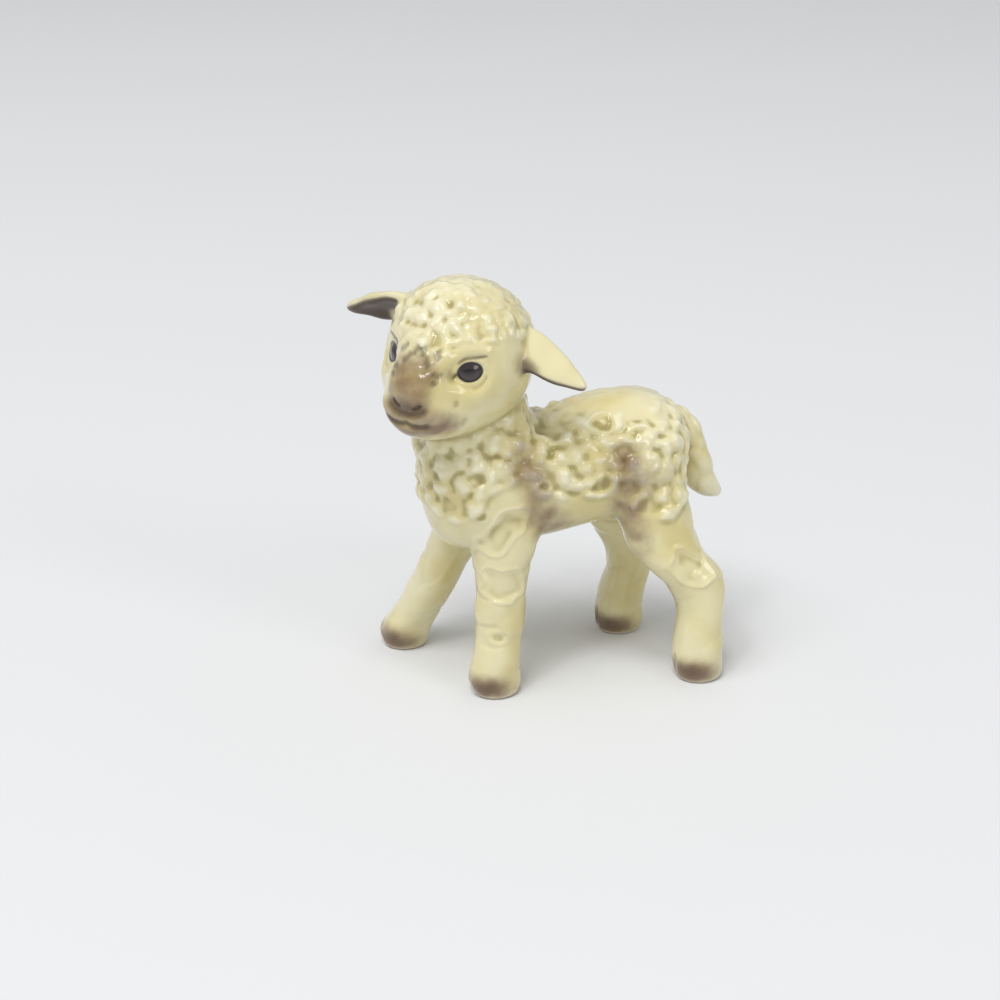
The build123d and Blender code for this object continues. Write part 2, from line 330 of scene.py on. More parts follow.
def crater(place, half_across, half_up, tilt, rim, pit, square):
    """Heights of one dent with a raised rim, and 1 inside it; it faces as the skin there does."""
    nearest = np.argmin(np.linalg.norm(clay.points - place, axis=1))
    outward = clay.normals()[nearest]
    right = np.cross((0, 0, 1), outward)
    right /= np.linalg.norm(right)
    up = np.cross(outward, right)
    offset = clay.points - clay.points[nearest]
    turn = math.radians(tilt)
    across = offset @ right * math.cos(turn) + offset @ up * math.sin(turn)
    rise = offset @ up * math.cos(turn) - offset @ right * math.sin(turn)
    ring = (np.abs(across / half_across) ** square + np.abs(rise / half_up) ** square) ** (1 / square)
    ring *= 1 + 0.14 * waves(clay.points, 3.0, 61)
    near = np.abs(offset @ outward) < 4.0
    rim_width = 0.30 / min(half_across, half_up)
    inside = (1 - smoothstep(0.55, 1.05, ring)) * near
    return rim * np.exp(-((ring - 1 - rim_width) / rim_width) ** 2) * near - pit * inside, inside


# Strokes along a line through given corners, for cuts in the clay and for the brush.


def line_distance(points, line, reach=4.0):
    """How far points are from a line through corners, and how far along it their nearest place is."""
    lengths = np.linalg.norm(np.diff(line, axis=0), axis=1)
    starts = np.concatenate([[0.0], np.cumsum(lengths)])
    distance = np.full(len(points), FAR)
    place = np.zeros(len(points))
    low, high = line.min(0) - reach, line.max(0) + reach
    near = np.nonzero(np.all((points > low) & (points < high), axis=1))[0]
    close = points[near]
    for start, end, length, before in zip(line, line[1:], lengths, starts):
        way = np.clip((close - start) @ (end - start) / length ** 2, 0, 1)
        gap = np.linalg.norm(close - start - way[:, None] * (end - start), axis=1)
        better = gap < distance[near]
        distance[near[better]] = gap[better]
        place[near[better]] = (before + way * length)[better] / starts[-1]
    return distance, place


def fine_line(corners, steps=6):
    """A smooth line through the corners, with a few straight steps between each two."""
    corners = np.asarray(corners, float)
    padded = np.vstack([2 * corners[0] - corners[1], corners, 2 * corners[-1] - corners[-2]])
    out = []
    for before, start, end, after in zip(padded, padded[1:], padded[2:], padded[3:]):
        slope = end - before
        bend = 2 * before - 5 * start + 4 * end - after
        turn = 3 * start - before - 3 * end + after
        for share in np.arange(steps) / steps:
            out.append(0.5 * (2 * start + slope * share + bend * share ** 2 + turn * share ** 3))
    out.append(corners[-1])
    return np.array(out)


def stroke(flat, corners, width, height, taper=0.15):
    """Heights along a line drawn in two coordinates, thinner towards its ends."""
    distance, place = line_distance(flat, fine_line(corners))
    ends = smoothstep(0.0, taper, place) * smoothstep(1.0, 1.0 - taper, place)
    return height * bell(distance, width) * (0.25 + 0.75 * ends)


def both_sides(flat, corners, width, height):
    """The same stroke on the lamb's left and on its right."""
    return stroke(flat, corners, width, height) + stroke(flat * (-1, 1), corners, width, height)


def mirrored(corners):
    """A line from the right corner of the face through its middle on to the left one."""
    return [(-aside, up) for aside, up in corners] + [(aside, up) for aside, up in reversed(corners)]


# The face's lines, seen from the front: to the lamb's left and up, in the head's frame.

UNDER_NOSE = mirrored([(4.3, -3.6), (3.4, -4.9), (2.0, -5.75), (0.0, -6.0)])
UPPER_LIP = mirrored([(6.1, -5.3), (4.8, -5.9), (2.4, -6.95), (0.9, -6.75)])
MOUTH = mirrored([(5.4, -7.0), (4.6, -7.5), (3.3, -8.2), (1.3, -8.3), (0.2, -8.0)])
LIP_GROOVE = [(0.0, -5.9), (0.0, -6.9), (0.0, -7.8)]
NOSTRIL = [(1.0, -4.9), (1.9, -4.75), (2.7, -4.1), (2.9, -3.5)]
BROW_CUTS = [
    [(1.4, 4.6), (2.0, 3.4), (3.0, 2.6)],
    [(3.4, 1.9), (4.4, 1.5), (5.2, 1.3)],
    [(3.8, 0.6), (4.8, -0.2)],
    [(0.3, 5.9), (0.8, 4.9), (1.0, 3.9)],
    [(3.0, 5.6), (3.5, 4.7), (4.4, 4.2)],
]

# The lines around an eye: along it to the ear and up it, from its middle.

EYE_PLACE = np.array([10.9, 8.8, 1.6])
EYE_FACING = math.radians(42.0)
EYE_TILT = math.radians(7.0)
EYE_HALF_LENGTH = 2.3
EYE_HALF_HEIGHT = 1.75
BROW_RIDGE = [(-4.0, 1.6), (-2.2, 3.0), (0.2, 3.5), (2.8, 3.3), (4.8, 2.4)]
LID_FOLD = [(-2.7, 1.5), (-0.6, 2.45), (1.6, 2.45), (3.6, 2.5)]
EYE_CORNER = [(-2.3, -0.1), (-2.9, -0.5), (-3.4, -0.9)]
UNDER_CREASE = [(2.9, -0.6), (2.6, -1.7), (1.2, -2.8), (-0.6, -3.0)]
CHEEK_MARKS = [
    [(-3.1, -4.3), (-3.4, -5.8)],
    [(-1.6, -8.0), (-1.9, -9.2), (-2.8, -10.0)],
    [(-3.4, -8.7), (-3.8, -9.9)],
]
# The brush follows the fold, the corner and the crease by eye, a little off the cuts.
PAINTED_FOLD = [(-2.6, 1.6), (-0.6, 2.4), (1.6, 2.4), (3.9, 2.5)]
PAINTED_CORNER = [(-2.2, -0.1), (-2.9, -0.4), (-3.3, -0.8)]
PAINTED_CREASE = [(3.0, -0.6), (2.6, -1.8), (1.2, -2.8), (-0.4, -3.0)]


def eye_axes(side):
    """The directions along one eye to the ear, up it, and out of the head, in the head's frame."""
    facing = np.array([math.cos(EYE_FACING), math.sin(EYE_FACING) * side, 0.0])
    level = np.array([-math.sin(EYE_FACING), math.cos(EYE_FACING) * side, 0.0])
    upright = np.array([0.0, 0.0, 1.0])
    along = level * math.cos(EYE_TILT) + upright * math.sin(EYE_TILT)
    up = upright * math.cos(EYE_TILT) - level * math.sin(EYE_TILT)
    return np.array([along, up, facing])


def eye_places(points, side):
    """Places along and up one eye, from its middle, and how far out of the head they are."""
    local = (to_head(points) - EYE_PLACE * (1, side, 1)) @ eye_axes(side).T
    return local[:, :2], local[:, 2]


def eye_skin(at, out, side):
    """1 at the skin around one eye, and 0 inside the head and on its other side."""
    return smoothstep(4.5, 3.0, np.abs(out)) * (at[:, 1] * side > 2.0)


def cheek_skin(at, out, side):
    return in_head & (at[:, 1] * side > 3.0) & (out > -4.0)


# The head: the casting's sockets and slits are smoothed over, and the face is modelled anew.


def muzzle_forms(front):
    """Heights of the nose, the chin, the bridge of the nose and the lips' corners."""
    aside, up = np.abs(front[:, 0]), front[:, 1]
    nose = 0.70 * mound(front, (0.0, -2.9), (4.2, 3.4), 1.25)
    chin = 0.25 * mound(front, (0.0, -10.0), (3.4, 1.8), 1.2)
    bridge = 1.60 * smoothstep(8.4, 4.0, aside) * smoothstep(-4.5, 1.5, up) * smoothstep(12.0, 5.0, up)
    lip_corners = 0.35 * mound(np.stack([aside, up], axis=1), (4.4, -5.9), (2.6, 1.9), 1.2)
    return nose + chin + bridge + lip_corners


def muzzle_lines(front):
    """Heights of the lines under the nose, at the lips and in the nostrils."""
    return (stroke(front, UNDER_NOSE, 1.0, -0.45)
            + stroke(front, UPPER_LIP, 1.2, 0.26)
            + stroke(front, MOUTH, 0.9, -0.50)
            + stroke(front, LIP_GROOVE, 0.7, -0.22)
            + both_sides(front, NOSTRIL, 0.75, -0.60))


def eye_socket(flat):
    """Heights of the hollow around an eye, the ridge over it and the cheek under it."""
    hollow = -1.50 * mound(flat, (0.0, 0.0), (5.2, 4.4))
    inner_hollow = -0.80 * mound(flat, (-3.9, 0.4), (2.6, 3.4))
    cheek = 0.30 * mound(flat, (1.0, -4.8), (3.6, 2.6))
    return hollow + inner_hollow + stroke(flat, BROW_RIDGE, 2.2, 0.28) + cheek


def eye_with_lids(flat):
    """Heights of the eyeball, the thicker upper and thinner lower lid, and the lines around them."""
    ring = np.linalg.norm(flat / (EYE_HALF_LENGTH, EYE_HALF_HEIGHT), axis=1)
    ball = 0.85 * np.clip(1 - ring ** 2, 0, 1)
    lid_height = 0.24 + 0.18 * smoothstep(-0.3, 0.5, flat[:, 1])
    lids = lid_height * np.exp(-((ring - 1.24) / 0.18) ** 2)
    lines = stroke(flat, LID_FOLD, 0.6, -0.26)
    lines += stroke(flat, UNDER_CREASE, 0.9, -0.13)
    lines += stroke(flat, EYE_CORNER, 0.6, -0.35)
    return ball + lids + lines


at = to_head(clay.points)
for side in SIDES:
    eye_gap = np.linalg.norm(at - EYE_PLACE * (1, side, 1), axis=1)
    clay.relax(3.2, smoothstep(8.0, 5.5, eye_gap))
clay.relax(1.5, smoothstep(11.5, 14.0, at[:, 0]))

at = to_head(clay.points)
muzzle = smoothstep(10.5, 13.0, at[:, 0])
clay.push(muzzle_forms(at[:, 1:]) * muzzle)
at = to_head(clay.points)
clay.push(muzzle_lines(at[:, 1:]) * muzzle)

for side in SIDES:
    flat, out = eye_places(clay.points, side)
    near = eye_skin(at, out, side)
    clay.push(eye_socket(flat) * near)
    clay.relax(0.6, near * bell(np.linalg.norm(flat, axis=1), 7.0))
    flat, out = eye_places(clay.points, side)
    clay.push(eye_with_lids(flat) * near)

# Short cuts in the wool of the brow, and a few marks on the cheeks.
at = to_head(clay.points)
brow_side = in_head * smoothstep(9.0, 11.0, at[:, 0])
for line in BROW_CUTS:
    clay.push(both_sides(at[:, 1:], line, 1.2, -0.11) * brow_side)
for side in SIDES:
    flat, out = eye_places(clay.points, side)
    cheek = cheek_skin(to_head(clay.points), out, side)
    for line in CHEEK_MARKS:
        clay.push(stroke(flat, line, 0.9, -0.28) * cheek)


# The wool: on the crown and the brow, down the neck and over the barrel to a scalloped edge.

# The lower edge of the body's wool, seen from the side: ahead of the trunk's middle, and its height.
COAT_EDGE = [
    (-30.0, 42.0), (-24.0, 38.0), (-19.0, 34.0), (-14.0, 33.5), (-10.0, 37.0), (-6.0, 40.0),
    (-2.0, 39.5), (3.0, 40.0), (7.5, 41.0), (8.8, 43.4), (11.5, 44.6), (15.0, 43.4),
    (17.5, 42.0), (18.8, 38.0), (21.0, 36.8), (24.0, 36.5), (28.0, 38.0),
]


def cap_edge(at):
    """How high the lower edge of the head's wool is: low between the eyes and at the nape."""
    aside = np.abs(at[:, 1])
    edge = np.where(at[:, 0] > 0, 1.2 + 5.2 * smoothstep(3.0, 6.2, aside), 6.4)
    return edge - 9.0 * smoothstep(1.0, -7.0, at[:, 0]) * smoothstep(14.5, 9.5, aside)


at = to_head(clay.points)
cap = smoothstep(-0.4, 0.7, at[:, 2] - cap_edge(at) + 0.5 * waves(clay.points, 4.0, seed=3)) * in_head
cap = clay.soften(cap, 0.6)
clay.push(0.25 * cap)
low_brow = smoothstep(5.6, 3.0, at[:, 2]) * smoothstep(8.0, 10.0, at[:, 0])
crown = smoothstep(8.5, 12.0, at[:, 2] - 0.35 * at[:, 0])
head_room = cap * (1 - 0.7 * low_brow) * (1 - 0.40 * crown)
clay.push(fleece(head_room, gap=2.6, lump=0.72, dimple=0.40, seed=21, sunk_share=0.08))
clay.relax(0.85, cap)
clay.push(fleece(cap, gap=1.5, lump=0.14, dimple=0.10, seed=22))

ahead, _, rise = (clay.points - TRUNK_MIDDLE).T
edge = np.interp(ahead, *zip(*COAT_EDGE)) + 0.7 * waves(clay.points, 6.0, seed=5)
coat = clay.soften(smoothstep(-0.25, 0.45, rise - edge) * on_body, 0.5)
# The back has lower and fewer curls than the sides.
back = smoothstep(51.5, 55.0, rise) * smoothstep(14.0, 2.0, ahead) * 0.75
hem = np.exp(-((rise - edge - 0.6) / 0.7) ** 2) * on_body
clay.push(0.38 * coat + 0.16 * hem)
clay.push(fleece(coat * (1 - back), gap=3.2, lump=0.92, dimple=0.52, seed=33, sunk_share=0.12))
clay.relax(0.95, coat)
clay.push(fleece(coat * (1 - back), gap=2.0, lump=0.16, dimple=0.14, seed=34))


# Broad dents on the legs and the tail, as a knife leaves them in wet clay, and uneven ears.

legs = clay.soften(in_legs * (1 - coat) * smoothstep(0.8, 3.0, clay.points[:, 2]), 0.6)
clay.push(fleece(legs, gap=6.4, lump=0.34, dimple=0.16, seed=55, sunk_share=0.5))
tail = clay.soften((owner == TAIL).astype(float), 0.8)
clay.push(fleece(tail, gap=4.6, lump=0.34, dimple=0.20, seed=77, sunk_share=0.4))
ears = clay.soften(in_ears.astype(float), 1.0)
clay.push(0.11 * waves(clay.points, 4.2, seed=99) * ears)

# The dents and craters that stand out on the lamb's left side: place, half width and half height,
# tilt in degrees, height of the rim, depth of the pit, and how square it is, from 2 for an ellipse.
LEFT_DENTS = [
    ((13.6, 12.7, 34.8), 4.9, 2.6, 52, 0.34, 0.22, 3.0),
    ((14.0, 13.2, 23.8), 3.5, 3.0, -4, 0.32, 0.20, 4.0),
    ((15.1, 13.7, 13.1), 1.5, 1.1, 0, 0.22, 0.16, 2.0),
    ((-23.4, 16.8, 24.1), 4.4, 2.8, -33, 0.30, 0.30, 2.5),
    ((-5.7, 12.6, 42.1), 2.2, 1.5, 25, 0.24, 0.26, 2.0),
    ((-7.6, 7.6, 52.6), 2.3, 1.9, 0, 0.22, 0.28, 2.0),
    ((-13.5, 13.3, 37.1), 1.7, 1.9, 0, 0.14, 0.18, 2.0),
    ((6.0, 12.9, 42.5), 1.2, 1.0, 0, 0.22, 0.22, 2.0),
    ((-12.7, 10.3, 51.2), 3.0, 1.7, 10, 0.14, 0.22, 2.0),
    ((18.0, 11.9, 38.1), 1.2, 1.1, 0, 0.14, 0.16, 2.0),
    ((18.5, 11.7, 45.6), 2.4, 1.7, 20, 0.12, 0.20, 2.5),
    ((19.5, 11.1, 49.1), 2.0, 1.2, 0, 0.10, 0.16, 2.0),
    ((23.0, 8.9, 40.2), 1.8, 1.8, 0, 0.10, 0.16, 2.5),
]
dented = np.zeros(clay.count)
for dent in LEFT_DENTS:
    height, inside = crater(*dent)
    clay.push(height)
    dented = np.maximum(dented, inside)
clay.relax(0.42)

# The air hole under the belly is a blind hole here; its skin bends in from the first radius and
# is at full depth from the second one.
AIR_HOLE_DEPTH = 3.0
AIR_HOLE_RADII = (1.25, 0.85)
BELLY_TOP = 34.0
hole_gap = np.hypot(clay.points[:, 0] - TRUNK_MIDDLE[0], clay.points[:, 1] - TRUNK_MIDDLE[1])
belly = clay.points[:, 2] < BELLY_TOP
clay.points[:, 2] += belly * AIR_HOLE_DEPTH * smoothstep(*AIR_HOLE_RADII, hole_gap)
# Nothing is lower than the floor.
clay.points[:, 2] = np.maximum(clay.points[:, 2], 0.0)


# Where the glaze pools and where colour was sprayed or brushed on, as values of each point.

# Soft spots of spray: place from the trunk's middle or in the head's frame, radius and strength.
BODY_SPOTS = [
    ((10.2, 11.6, 46.7), 7.0, 0.72), ((8.0, 12.2, 43.0), 6.0, 0.60), ((7.6, 12.6, 38.4), 5.6, 0.75),
    ((5.0, 11.0, 34.6), 6.8, 0.85), ((10.6, 9.9, 51.5), 5.6, 0.40), ((0.0, 10.0, 33.0), 5.4, 0.40),
    ((-9.4, 12.4, 46.8), 7.0, 0.70), ((-10.4, 12.8, 41.5), 7.4, 0.70), ((-10.6, 12.0, 35.4), 6.4, 0.80),
    ((-12.4, 12.7, 31.0), 5.4, 0.70), ((-14.0, 13.2, 27.5), 4.4, 0.40), ((-16.5, 12.9, 42.0), 7.0, 0.30),
]
FACE_SPOTS = [
    ((18.9, 1.8, -4.2), 5.0, 0.95), ((18.6, 2.0, -1.4), 5.2, 0.92), ((17.0, 2.4, 1.2), 4.8, 0.78),
    ((15.6, 1.8, 3.8), 4.4, 0.45), ((17.6, 4.8, -8.0), 4.8, 0.95), ((16.2, 6.4, -7.4), 4.6, 0.85),
    ((17.6, 1.6, -9.8), 4.6, 0.85), ((14.0, 6.9, -9.2), 4.2, 0.70), ((1.6, 13.6, 2.2), 3.4, 0.66),
    ((0.4, 14.9, 0.2), 3.4, 0.80), ((14.0, 5.4, 1.6), 2.4, 0.35), ((12.8, 7.9, -7.0), 3.4, 0.30),
    ((18.3, 2.2, -6.6), 3.2, 0.55),
]


def hollowness(reach):
    """How deep each point lies below the skin around it, in millimetres."""
    level = clay.soften(clay.points, reach)
    return np.sum((level - clay.points) * clay.normals(), axis=1)


def sprayed(spots, to_clay):
    """How much colour soft spots and their mirror images leave; to_clay moves a place to the clay."""
    on_both = spots + [((x, -y, z), radius, strength) for (x, y, z), radius, strength in spots]
    bare = np.ones(clay.count)
    for place, radius, strength in on_both:
        gap = np.linalg.norm(clay.points - to_clay(place), axis=1)
        bare *= 1 - strength * bell(gap, radius)
    return 1 - bare


def hollow_side(at, ear, side):
    """1 on the hollow underside of one ear, away from its root."""
    down = smoothstep(0.10, -0.20, (clay.normals() @ HEAD_AXES.T)[:, 2])
    far = np.linalg.norm(at - (0.5, 13.0 * side, 4.5), axis=1)
    return clay.soften(down * smoothstep(1.0, 3.0, far) * (owner == ear), 0.35)


def toe_places(foot):
    """The points' places from the middle of one sole."""
    return clay.points - TRUNK_MIDDLE - (*foot, 0)


def hoof_brown(toe):
    """How brown the front of one hoof is; the very sole is left paler."""
    near = (np.hypot(toe[:, 0], toe[:, 1]) < 8.0) & (toe[:, 2] < 10.0)
    hoof = mound(toe, (2.0, 1.6, 2.2), (6.4, 6.2, 4.2), 1.25)
    hoof *= 0.55 + 0.45 * smoothstep(0.4, 1.4, toe[:, 2]) + 0.10 * waves(clay.points, 3.0, seed=13)
    return near * np.clip(1.25 * hoof, 0, 1)


def hoof_dark(toe):
    return 0.50 * mound(toe, (2.2, 2.6, 2.8), (5.2, 5.0, 2.8), 1.2) * (toe[:, 2] < 10.0)


def muzzle_dark(at):
    """Dark strokes in the nostrils, under the nose, on its tip and in the mouth."""
    front = at[:, 1:]
    return np.maximum.reduce([
        stroke(front, UNDER_NOSE, 1.7, 0.55),
        stroke(front, MOUTH, 1.1, 0.50),
        0.50 * mound(at, (18.6, 0.0, -4.4), (3.0, 3.4, 2.2), 1.2),
        both_sides(front, NOSTRIL, 0.9, 0.70),
    ])


def brow_dark(front):
    """Dark strokes in the cuts of the brow, and its deeper pits."""
    pits = smoothstep(0.2, 0.7, pool) * mound(front, (0.0, 4.0), (7.5, 4.4))
    return np.maximum.reduce([0.22 * pits] + [both_sides(front, line, 1.2, 0.50) for line in BROW_CUTS])


def side_dark(at, side):
    """Dark strokes around one eye, on its cheek and where the ear is stuck on."""
    flat, out = eye_places(clay.points, side)
    lid_lines = np.maximum.reduce([
        stroke(flat, PAINTED_FOLD, 0.6, 0.58),
        stroke(flat, PAINTED_CORNER, 0.5, 0.60),
        stroke(flat, PAINTED_CREASE, 0.6, 0.30),
    ])
    cheek_lines = np.maximum.reduce([stroke(flat, line, 1.5, 0.24) for line in CHEEK_MARKS])
    ear_root = 0.55 * mound(at, (0.6, 14.4 * side, 0.6), (1.6, 1.2, 2.0), 1.3)
    return np.maximum.reduce([
        lid_lines * eye_skin(at, out, side) * in_head,
        cheek_lines * cheek_skin(at, out, side),
        ear_root,
    ])


# The glaze pools in hollows and thins on ridges, less so where the skin has no wool; the ridges also get a
# painted highlight from this.
pool = np.clip(clay.soften(hollowness(2.2), 0.40) / 0.36, -1.0, 1.0)
without_wool = np.where(in_head | in_ears, 1 - cap, in_legs * (1 - coat))
pool = np.where(pool < 0, pool * (1 - 0.6 * without_wool), pool) + 0.16 * dented

# Brown is sprayed on the body and the face, and brushed in the ears and on the hooves.
at = to_head(clay.points)
brown = np.maximum(
    sprayed(BODY_SPOTS, lambda place: TRUNK_MIDDLE + place) * on_body,
    sprayed(FACE_SPOTS, from_head) * (in_head | in_ears),
)
brown *= 0.85 + 0.15 * waves(clay.points, 3.0, seed=91)
for ear, side in zip(EARS, SIDES):
    brown = np.where(owner == ear, np.maximum(brown, 0.95 * hollow_side(at, ear, side)), brown)
for foot in FEET.values():
    brown = np.maximum(brown, hoof_brown(toe_places(foot)))
brown = clay.soften(brown, 0.5)

# Darker strokes lie over the brown.
on_face = smoothstep(9.0, 12.0, at[:, 0]) * in_head
body_pits = smoothstep(0.3, 0.9, pool) * np.clip(1.3 * brown, 0, 1)
dark = np.maximum.reduce(
    [muzzle_dark(at) * on_face, brow_dark(at[:, 1:]) * on_face, 0.30 * body_pits * on_body]
    + [0.72 * brown * (owner == ear) for ear in EARS]
    + [hoof_dark(toe_places(foot)) for foot in FEET.values()]
    + [side_dark(at, side) for side in SIDES]
)
values = {"pool": pool, "brown": brown, "dark": dark}


# The skin is parted again where the castings were stuck together, and every part is closed.

# How far the middle of a closing fan is sunk into its piece.
FAN_DEPTH = 0.4


def even_owners(owner):
    """The owners with smooth borders between them."""
    shares = [clay.soften((owner == index).astype(float), 1.3) for index in range(len(NODES))]
    return np.argmax(shares, axis=0)


def rims(starts, ends):
    """The open edges as separate rings of start and end points."""
    following = {}
    for start, end in zip(starts.tolist(), ends.tolist()):
        following.setdefault(start, []).append(end)
    rings = []
    while following:
        ring = []
        here = next(iter(following))
        while here in following:
            after = following[here].pop()
            if not following[here]:
                del following[here]
            ring.append((here, after))
            here = after
        rings.append(ring)
    return rings


def close_rim(ring, points, faces, corner_normals):
    """Closes one open ring by a fan of triangles around a sunk middle."""
    middle = np.mean([points[start] for start, _ in ring], axis=0)
    slices = [np.cross(points[start] - points[end], middle - points[end]) for start, end in ring]
    outward = np.sum(slices, axis=0)
    points.append(middle - FAN_DEPTH * MM * outward / np.linalg.norm(outward))
    for start, end in ring:
        slope = np.cross(points[start] - points[end], points[-1] - points[end])
        faces.append([end, start, len(points) - 1])
        corner_normals += [slope / max(np.linalg.norm(slope), 1e-12)] * 3


def glazed_piece(node, quads, quad_owner, normals):
    """One casting's share of the skin as a mesh object, closed inside at each joint."""
    used, own = np.unique(quads[quad_owner == NODES.index(node)], return_inverse=True)
    own = own.reshape(-1, 4)
    starts, ends = own.ravel(), np.roll(own, -1, axis=1).ravel()
    is_open = ~np.isin(ends * len(used) + starts, starts * len(used) + ends)
    points = list(clay.points[used] * MM)
    faces = own.tolist()
    corner_normals = list(normals[used][own.ravel()])
    for ring in rims(starts[is_open], ends[is_open]):
        close_rim(ring, points, faces, corner_normals)
    mesh = bpy.data.meshes.new(node + "_glazed")
    mesh.from_pydata(points, [], faces)
    mesh.polygons.foreach_set("use_smooth", [True] * len(faces))
    for name, value in values.items():
        spread = np.concatenate([value[used], np.zeros(len(points) - len(used))]).astype(np.float32)
        mesh.attributes.new(name, "FLOAT", "POINT").data.foreach_set("value", spread)
    mesh.normals_split_custom_set(corner_normals)
    made = bpy.data.objects.new(mesh.name, mesh)
    bpy.context.collection.objects.link(made)
    return made


normals = clay.normals()
quads = np.empty(len(clay.obj.data.loops), dtype=np.int64)
clay.obj.data.loops.foreach_get("vertex_index", quads)
quads = quads.reshape(-1, 4)
quad_owner = np.sort(even_owners(owner)[quads], axis=1)[:, 1]
pieces = {node: glazed_piece(node, quads, quad_owner, normals) for node in NODES}
bpy.data.objects.remove(clay.obj)
bpy.ops.object.select_all(action="DESELECT")


# Materials.


class Wire:
    """A socket that Python's own signs join to others by maths nodes."""

    def __init__(self, board, socket):
        self.board = board
        self.socket = socket

    def maths(self, operation, first, second):
        return self.board.node("ShaderNodeMath", {"operation": operation}, {0: first, 1: second})

    def __add__(self, other):
        return self.maths("ADD", self, other)

    def __radd__(self, other):
        return self.maths("ADD", other, self)

    def __sub__(self, other):
        return self.maths("SUBTRACT", self, other)

    def __rsub__(self, other):
        return self.maths("SUBTRACT", other, self)

    def __mul__(self, other):
        return self.maths("MULTIPLY", self, other)

    def __rmul__(self, other):
        return self.maths("MULTIPLY", other, self)

    def __truediv__(self, other):
        return self.maths("DIVIDE", self, other)

    def __rtruediv__(self, other):
        return self.maths("DIVIDE", other, self)

    def __pow__(self, other):
        return self.maths("POWER", self, other)

    def __rpow__(self, other):
        return self.maths("POWER", other, self)


class Board:
    """A material's node tree, built from one method."""

    def __init__(self, name):
        self.material = bpy.data.materials.new(name)
        self.material.use_nodes = True
        self.tree = self.material.node_tree
        self.tree.nodes.clear()

    def node(self, kind, settings=None, values=None, out=0):
        """Adds a node: settings first, then values and links; gives one of its outputs."""
        made = self.tree.nodes.new(kind)
        for name, value in (settings or {}).items():
            setattr(made, name, value)
        for name, value in (values or {}).items():
            if isinstance(value, Wire):
                self.tree.links.new(value.socket, made.inputs[name])
            else:
                made.inputs[name].default_value = value
        return Wire(self, made.outputs[out]) if made.outputs else made

    def value_of(self, name):
        """A value that the mesh holds for each of its points."""
        return self.node("ShaderNodeAttribute", {"attribute_name": name}, out="Fac")

    def mix(self, share, first, second):
        return self.node("ShaderNodeMix", {"data_type": "RGBA"}, {0: share, 6: first, 7: second}, out=2)

    def ramp(self, value, low, high):
        """0 at low and 1 at high, softly between them."""
        values = {0: value, 1: low, 2: high, 3: 0.0, 4: 1.0}
        return self.node("ShaderNodeMapRange", {"interpolation_type": "SMOOTHSTEP"}, values)

    def noise(self, place, scale, detail=2.0, roughness=0.5):
        values = {"Vector": place, "Scale": scale, "Detail": detail, "Roughness": roughness}
        return self.node("ShaderNodeTexNoise", None, values)

    def finish(self, shader):
        self.node("ShaderNodeOutputMaterial", None, {"Surface": shader})
        return self.material


def colour(red, green, blue):
    """A colour by its screen values of 0 to 255."""
    def linear(value):
        value /= 255
        return value / 12.92 if value <= 0.04045 else ((value + 0.055) / 1.055) ** 2.4
    return (linear(red), linear(green), linear(blue), 1.0)


CREAM = colour(223, 214, 170)
WARM_CREAM = colour(210, 197, 138)
PALE_CREAM = colour(229, 224, 198)
# Pale on ridges: thin glaze, and a painted highlight.
RIDGE_GLAZE_AND_HIGHLIGHT = colour(240, 236, 214)
OLIVE = colour(170, 157, 96)
DEEP_OLIVE = colour(122, 106, 58)
SPRAYED_BROWN = colour(110, 74, 48)
# Brown paler on ridges: thin glaze, and a painted highlight.
THIN_BROWN_AND_HIGHLIGHT = colour(176, 160, 140)
DARK_BROWN = colour(48, 32, 20)
BARE_CLAY = colour(214, 200, 182)
EYE_OUTLINE = colour(26, 20, 22)
IRIS = colour(46, 33, 34)
# A painted light low in the iris.
IRIS_PAINTED_LIGHT = colour(84, 70, 70)
PUPIL = colour(12, 9, 12)
PAPER = colour(222, 223, 224)
PUPIL_ALONG = -0.20
PUPIL_UP = 0.12
PUPIL_HALF_LENGTH = 1.10
PUPIL_HALF_HEIGHT = 0.62


def painted_eye(board, place, side):
    """Masks of one eye's black outline, its iris, its pupil and the painted light low in the iris."""
    middle = from_head(EYE_PLACE * (1, side, 1)) * MM
    offset = board.node("ShaderNodeVectorMath", {"operation": "SUBTRACT"}, {0: place, 1: tuple(middle)})

    def component(axis):
        values = {0: offset, 1: tuple(axis / MM)}
        return board.node("ShaderNodeVectorMath", {"operation": "DOT_PRODUCT"}, values, out="Value")

    def oval(along, up, half_length, half_height):
        return ((along / half_length) ** 2.0 + (up / half_height) ** 2.0) ** 0.5

    along, up, out = [component(axis) for axis in eye_axes(side) @ HEAD_AXES]
    ring = oval(along, up, EYE_HALF_LENGTH, EYE_HALF_HEIGHT)
    pupil_ring = oval(along - PUPIL_ALONG, up - PUPIL_UP, PUPIL_HALF_LENGTH, PUPIL_HALF_HEIGHT)
    at_skin = board.ramp(out, -2.5, -2.0)
    outline = board.ramp(ring, 1.10, 1.00) * at_skin
    iris = board.ramp(ring, 0.88, 0.78) * at_skin
    pupil = board.ramp(pupil_ring, 1.15, 0.80) * at_skin
    painted_low_light = board.ramp(up, 0.2, -1.3) * iris
    return outline, iris, pupil, painted_low_light


def paint_eye(board, place, side, tint):
    """The tint with one eye painted over it."""
    outline, iris, pupil, painted_low_light = painted_eye(board, place, side)
    tint = board.mix(outline, tint, EYE_OUTLINE)
    tint = board.mix(iris, tint, IRIS)
    # A painted light in the lower half of the iris.
    tint = board.mix(painted_low_light * 0.25, tint, IRIS_PAINTED_LIGHT)
    return board.mix(pupil, tint, PUPIL)


